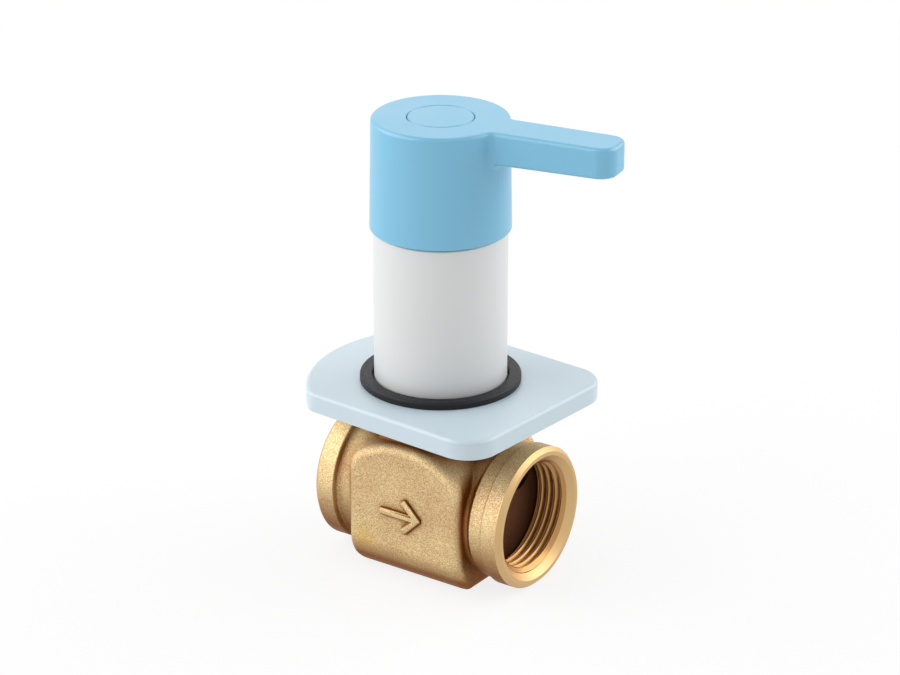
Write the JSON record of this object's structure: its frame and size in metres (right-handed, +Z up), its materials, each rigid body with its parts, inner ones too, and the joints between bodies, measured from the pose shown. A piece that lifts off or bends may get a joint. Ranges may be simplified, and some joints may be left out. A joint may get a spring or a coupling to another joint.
{
  "type": "flush cock",
  "caption": "Concealed quarter-turn stop valve: cast brass body with female pipe ends, wall plate with rubber ring, long white sleeve and blue lever handle.",
  "frame": {"origin": "centre of the flat foot under the spindle axis, on the surface the body stands on", "axes": "+Z up along the spindle axis, +X along the pipe towards the outlet, +Y to the back of the body"},
  "size_m": [0.0907, 0.0661, 0.1341],
  "materials": {
    "cast_brass": "sand cast, matt grain",
    "turned_brass": "machined",
    "black_rubber": "satin",
    "ceramic": "lapped ceramic",
    "fibre": "pressed fibre",
    "pale_blue_plastic": "moulded, satin",
    "white_plastic": "moulded, satin",
    "blue_plastic": "moulded, satin",
    "steel": "plain"
  },
  "bodies": {
    "valve": {"valve_body": "cast_brass", "seat_seal": "black_rubber", "fixed_disc": "ceramic", "headwork_housing": "turned_brass", "headwork_gasket": "fibre", "wall_plate": "pale_blue_plastic", "sealing_ring": "black_rubber", "sleeve": "white_plastic", "guide_bush": "white_plastic"},
    "handle": {"rotating_disc": "ceramic", "headwork_spindle": "turned_brass", "thrust_washer": "white_plastic", "lower_spindle_seal": "black_rubber", "upper_spindle_seal": "black_rubber", "spindle_clip": "steel", "extension_spindle": "turned_brass", "extension_grub_screw": "steel", "lever_handle": "blue_plastic", "handle_insert": "turned_brass", "handle_screw": "steel", "handle_screw_washer": "steel", "handle_cover": "blue_plastic"}
  },
  "joints": [
    {"name": "handle_turn", "type": "hinge", "parent": "valve", "child": "handle", "pos_m": [0, 0, 0.118], "axis": [0, 0, 1], "range_deg": [-9.6, 80.4]}
  ]
}
